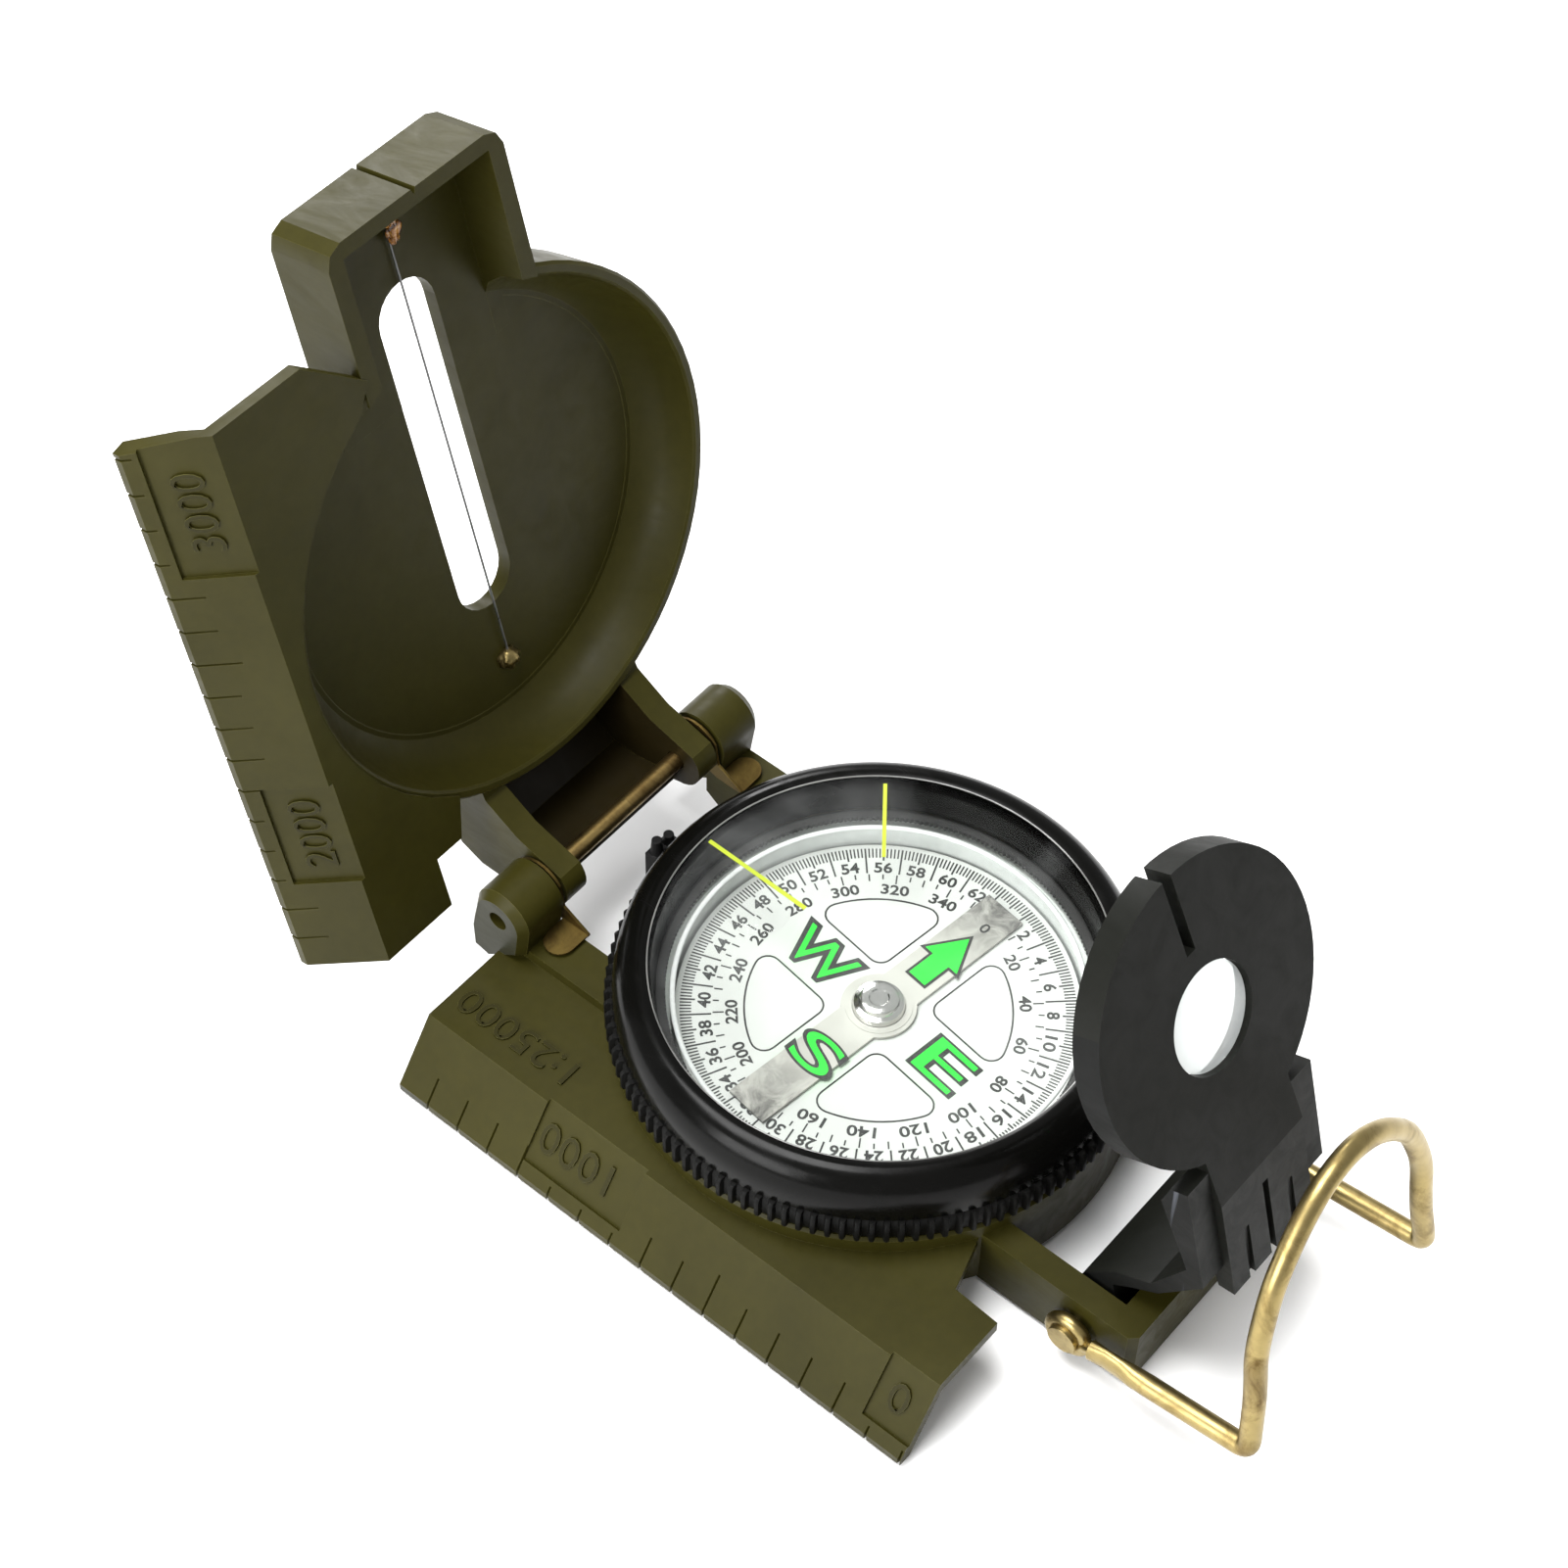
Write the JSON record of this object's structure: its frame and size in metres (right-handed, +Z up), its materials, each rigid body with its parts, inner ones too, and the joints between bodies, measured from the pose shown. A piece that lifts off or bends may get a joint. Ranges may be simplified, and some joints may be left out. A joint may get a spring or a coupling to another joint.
{
  "type": "sighting compass",
  "caption": "Folding sighting compass with a slotted cover and wire, a lens rear sight, a turning bezel, a floating dial, a map ruler along one side and a wire thumb loop.",
  "frame": {"origin": "on the dial's axis, in the plane of the base's flat underside", "axes": "+Y is the sighting direction from the lens to the cover hinge, +X is to the right with the ruler on the -X side, +Z is up out of the dial"},
  "size_m": [0.0605, 0.1199, 0.0842],
  "materials": {
    "olive_plastic": "satin moulded olive green plastic, worn lighter on the edges",
    "capsule_plastic": "white capsule wall and floor",
    "capsule_crystal": "clear capsule lid with a small magnifying blister",
    "retaining_ring": "black serrated ring",
    "pivot_steel": "ground needle point",
    "click_plastic": "black click spring",
    "hinge_brass": "satin brass pins",
    "shim_brass": "darkened golden-brown brass",
    "wire_steel": "fine drawn wire",
    "tack_brass": "small round tack",
    "anchor_resin": "amber and dark brown set resin",
    "sight_plastic": "charcoal satin plastic, scratched on one side",
    "lens_glass": "clear magnifying lens",
    "loop_brass": "satin brass wire with darker stains",
    "bezel_plastic": "gloss black with a matte knurled rim",
    "window_glass": "clear flat window with two luminous lines",
    "dial_card": "white printed dial card",
    "magnet_metal": "pale grey bar, smudged at both ends",
    "hub_metal": "polished hub cap"
  },
  "bodies": {
    "base": {"base_body": "olive_plastic", "capsule_cup": "capsule_plastic", "capsule_lid": "capsule_crystal", "capsule_ring": "retaining_ring", "pivot_post": "pivot_steel", "click_spring": "click_plastic", "hinge_pin": "hinge_brass", "friction_shim_left": "shim_brass", "friction_shim_right": "shim_brass", "pivot_pin": "hinge_brass"},
    "cover": {"cover_body": "olive_plastic", "sighting_wire": "wire_steel", "wire_tack": "tack_brass", "wire_anchor": "anchor_resin"},
    "rear_sight": {"lens_bracket": "sight_plastic", "sight_lens": "lens_glass"},
    "loop": {"thumb_loop": "loop_brass"},
    "bezel": {"bezel_ring": "bezel_plastic", "bezel_glass": "window_glass"},
    "dial": {"dial_card": "dial_card", "magnet_bar": "magnet_metal", "hub_cap": "hub_metal"}
  },
  "joints": [
    {"name": "cover_hinge", "type": "hinge", "parent": "base", "child": "cover", "pos_m": [0, 0.03394, 0.0132], "axis": [1, 0, 0], "range_deg": [-76.5, 70]},
    {"name": "rear_sight_hinge", "type": "hinge", "parent": "base", "child": "rear_sight", "pos_m": [0, -0.0345, 0.0044], "axis": [1, 0, 0], "range_deg": [-64, 18]},
    {"name": "thumb_loop_hinge", "type": "hinge", "parent": "base", "child": "loop", "pos_m": [0, -0.0345, 0.0044], "axis": [1, 0, 0], "range_deg": [-18, 150]},
    {"name": "bezel_turn", "type": "hinge", "parent": "base", "child": "bezel", "pos_m": [0, 0, 0.014], "axis": [0, 0, 1], "continuous": true},
    {"name": "dial_turn", "type": "hinge", "parent": "base", "child": "dial", "pos_m": [0, 0, 0.011], "axis": [0, 0, 1], "continuous": true}
  ]
}
